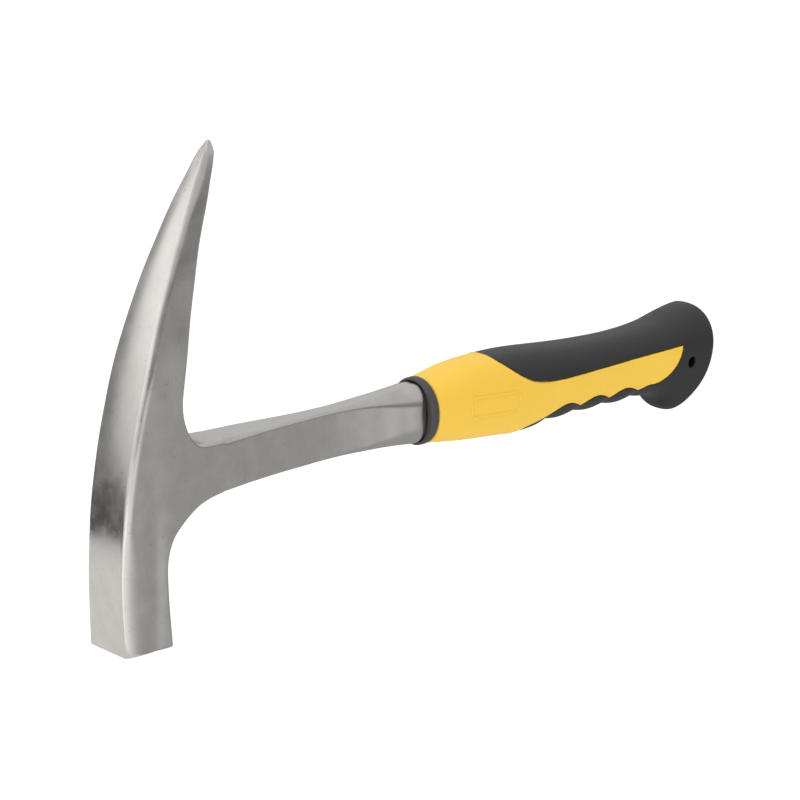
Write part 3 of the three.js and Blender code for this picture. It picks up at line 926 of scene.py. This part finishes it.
class HammerStageSettings(bpy.types.PropertyGroup):
    """Camera and light."""
    azimuth: FloatProperty(name="Azimuth", description="Camera direction", default=math.radians(-43.55), subtype="ANGLE")
    elevation: FloatProperty(name="Elevation", description="Camera height angle", default=math.radians(16.5), subtype="ANGLE")
    roll: FloatProperty(name="Roll", description="Camera roll", default=math.radians(1.2), subtype="ANGLE")
    lens: FloatProperty(name="Lens", description="Focal length in millimetres", default=135.2, min=20, max=300)
    table_radius: length_property("Table radius", "Part of the lit table that the steel mirrors", 0.089)
    table_glow: FloatProperty(name="Table glow", description="Light of the white table", default=1.0, min=0, max=5)
    overhead: FloatProperty(name="Overhead", description="Power of the overhead softbox in watts", default=5.0, min=0)
    horizon: FloatProperty(name="Horizon", description="Brightness of the studio's horizon", default=0.45, min=0)
    sky: FloatProperty(name="Ceiling", description="Brightness of the studio's ceiling", default=1.05, min=0)
    softbox: FloatProperty(name="Left softbox", description="Brightness of the left softbox", default=1.0, min=0)
    wall: FloatProperty(name="Front wall", description="Brightness of the wall in front", default=0.7, min=0)
    window: FloatProperty(name="Front window", description="Brightness in front on the left", default=1.3, min=0)
    floor_line: FloatProperty(name="Back wall", description="Brightness of the wall behind", default=0.5, min=0)
    flag: FloatProperty(name="Flag", description="Light left by the black flag at the back", default=0.16, min=0)
    reflector: FloatProperty(name="Reflector", description="Brightness of the reflector", default=0.9, min=0)


class HAMMER_OT_forging(bpy.types.Operator):
    """Build the forged head, shank and tang"""
    bl_idname = "hammer.forging"
    bl_label = "Forging"

    def execute(self, context):
        steel = context.scene.hammer_steel
        body = finish_mesh("forging", forging_grids(steel))
        tang = finish_mesh("tang", [tang_grid()], mirror=False)
        cut(tang, [cross_pin(x, float(grip_top(x) + grip_bottom(x)) / 2, LOCK_HOLE_RADIUS) for x in LOCK_HOLES])
        shape = bmesh.new()
        shape.from_mesh(body.data)
        shape.from_mesh(tang.data)
        shape.to_mesh(body.data)
        shape.free()
        bpy.data.objects.remove(tang)
        body.data.shade_smooth()
        dress(body, forged_steel(steel), "forged_steel", "forged_steel_body")
        return {"FINISHED"}


class HAMMER_OT_collar(bpy.types.Operator):
    """Build the front collar"""
    bl_idname = "hammer.collar"
    bl_label = "Collar"

    def execute(self, context):
        grip = context.scene.hammer_grip
        ring = finish_mesh("collar_ring", [collar_grid()], mirror=False)
        material = moulded("matt_collar_rubber", tuple(grip.collar), tuple(grip.collar), 0.55, 0.0006, 0.15)
        dress(ring, material, "collar_rubber", "front_collar")
        return {"FINISHED"}


class HAMMER_OT_core(bpy.types.Operator):
    """Build the hard plastic core with its blank raised frames"""
    bl_idname = "hammer.core"
    bl_label = "Core"

    def execute(self, context):
        grip = context.scene.hammer_grip
        core = finish_mesh("hard_core", core_grids(grip))
        cut(core, [cross_pin(*HANG_HOLE, HANG_HOLE_RADIUS + CORE_HOLE_RELIEF)])
        material = moulded("satin_polypropylene", tuple(grip.yellow), tuple(grip.yellow_dark), 0.42, 0.0009, 0.12)
        dress(core, material, "yellow_plastic", "grip_core")
        badge = finish_mesh("blank_frames", [badge_grid()])
        dress(badge, material, "yellow_plastic", "grip_core")
        return {"FINISHED"}


class HAMMER_OT_rubber(bpy.types.Operator):
    """Build the soft overmould"""
    bl_idname = "hammer.rubber"
    bl_label = "Rubber"

    def execute(self, context):
        grip = context.scene.hammer_grip
        rubber = finish_mesh("rubber_skin", rubber_grids(grip))
        cut(rubber, [cross_pin(*HANG_HOLE, HANG_HOLE_RADIUS)])
        material = moulded("matt_overmould_rubber", tuple(grip.rubber), tuple(grip.rubber), 0.5, 0.0007, 0.2)
        dress(rubber, material, "black_rubber", "rubber_overmould")
        return {"FINISHED"}


class HAMMER_OT_stage(bpy.types.Operator):
    """Set up the camera, the floor and the studio light"""
    bl_idname = "hammer.stage"
    bl_label = "Stage"

    def execute(self, context):
        stage = context.scene.hammer_stage
        scene = context.scene
        data = bpy.data.cameras.new("camera")
        data.lens = stage.lens
        data.sensor_width = 36
        camera = bpy.data.objects.new("camera", data)
        scene.collection.objects.link(camera)
        turn = Matrix.Rotation(stage.azimuth, 4, "Z") @ Matrix.Rotation(math.pi / 2 - stage.elevation, 4, "X") \
            @ Matrix.Rotation(stage.roll, 4, "Z")
        camera.matrix_world = Matrix.Translation(CAMERA_PLACE) @ turn
        scene.camera = camera

        acrylic, _, _ = new_material("lit_white_acrylic", {
            "Base Color": linear("#5a5a5a"), "Roughness": 0.9,
            "Emission Color": (1, 1, 1, 1), "Emission Strength": stage.table_glow,
        })
        near, far = stage.table_radius, 3.0
        table = round_plate("table", 0, near, acrylic)
        surround = round_plate("table_surround", near, far, acrylic)
        # The polished steel mirrors the table's near part only, so its horizon stays grey.
        surround.visible_glossy = False

        light = bpy.data.lights.new("overhead", "AREA")
        light.size = 1.6
        light.energy = stage.overhead
        overhead = bpy.data.objects.new("overhead", light)
        scene.collection.objects.link(overhead)
        overhead.matrix_world = Matrix.Translation((0.1, -0.1, 1.5))
        scene.world = studio_world(stage)
        scene.view_settings.view_transform = "Standard"
        return {"FINISHED"}


class HAMMER_PT_panel(bpy.types.Panel):
    """Buttons and settings of the hammer"""
    bl_label = "Rock Hammer"
    bl_idname = "HAMMER_PT_panel"
    bl_space_type = "VIEW_3D"
    bl_region_type = "UI"
    bl_category = "Hammer"

    def draw(self, context):
        for operator in OPERATORS:
            self.layout.operator(operator.bl_idname)
        for settings in ("hammer_steel", "hammer_grip", "hammer_stage"):
            group = getattr(context.scene, settings)
            box = self.layout.box()
            for name in group.__annotations__:
                box.prop(group, name)


OPERATORS = (HAMMER_OT_forging, HAMMER_OT_collar, HAMMER_OT_core, HAMMER_OT_rubber, HAMMER_OT_stage)
SETTINGS = {
    "hammer_steel": HammerSteelSettings,
    "hammer_grip": HammerGripSettings,
    "hammer_stage": HammerStageSettings,
}


def register():
    for cls in (*SETTINGS.values(), *OPERATORS, HAMMER_PT_panel):
        bpy.utils.register_class(cls)
    for name, group in SETTINGS.items():
        setattr(bpy.types.Scene, name, PointerProperty(type=group))


def unregister():
    for name in SETTINGS:
        delattr(bpy.types.Scene, name)
    for cls in reversed((*SETTINGS.values(), *OPERATORS, HAMMER_PT_panel)):
        bpy.utils.unregister_class(cls)


def main():
    register()
    bpy.ops.hammer.forging()
    bpy.ops.hammer.collar()
    bpy.ops.hammer.core()
    bpy.ops.hammer.rubber()
    bpy.ops.hammer.stage()


if __name__ == "__main__":
    main()
